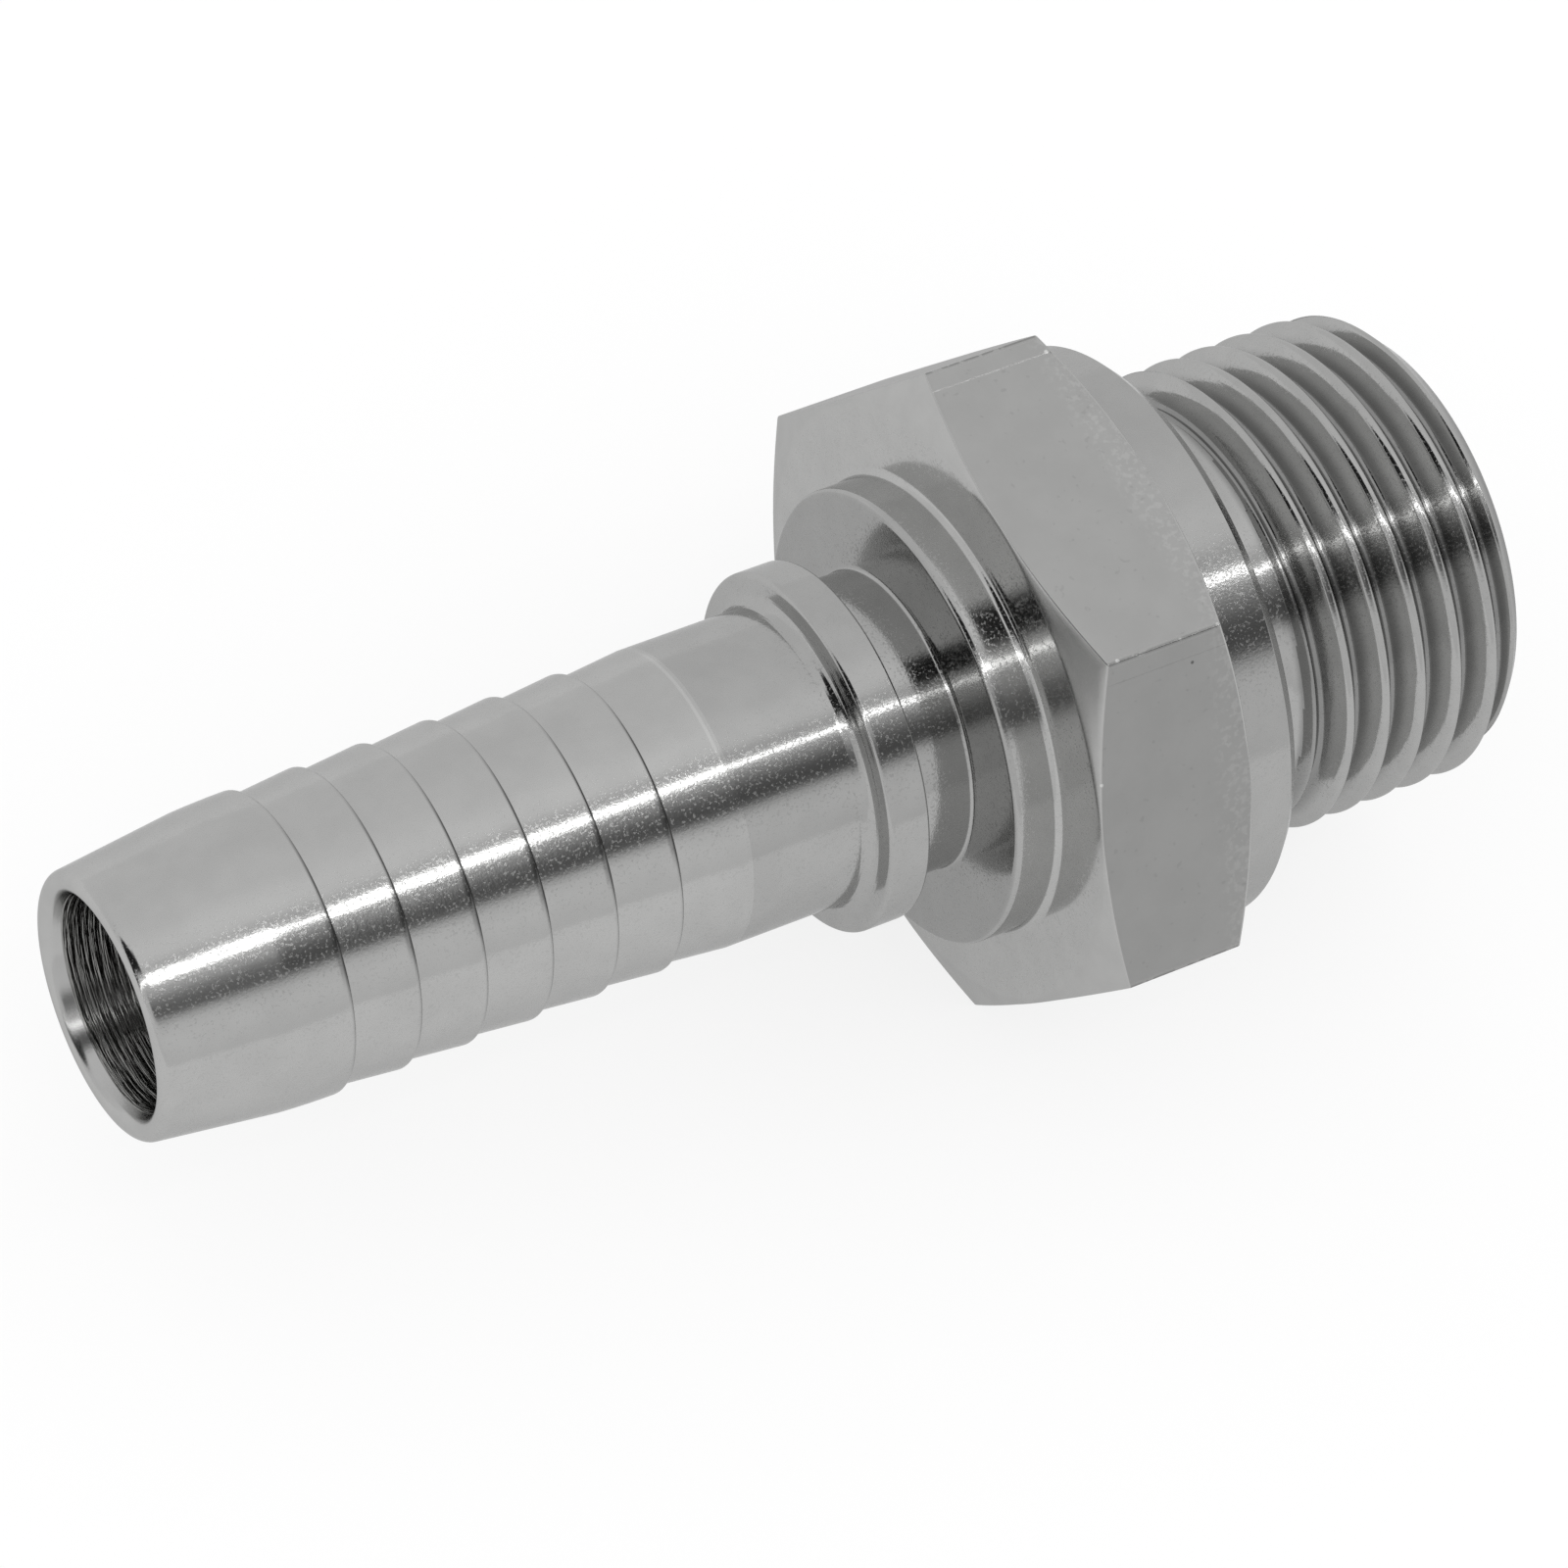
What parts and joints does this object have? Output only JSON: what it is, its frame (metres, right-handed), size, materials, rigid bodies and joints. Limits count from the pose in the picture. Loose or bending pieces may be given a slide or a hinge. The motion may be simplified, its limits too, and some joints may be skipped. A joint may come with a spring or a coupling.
{
  "type": "hose barb tail",
  "caption": "Turned hose tail with a barbed nose, collar and ferrule groove, shoulder, hexagon, and a parallel pipe thread with an internal cone seat.",
  "frame": {"origin": "on the bore axis, in the plane of the face that stops on the port", "axes": "+X along the bore towards the threaded end, +Z out of an upper hexagon flat; the part lies on the opposite flat"},
  "size_m": [0.063, 0.0312, 0.027],
  "materials": {
    "stainless_steel": "bright turned steel with satin hexagon flats"
  },
  "bodies": {
    "root": {"hose_tail": "stainless_steel"}
  },
  "joints": []
}
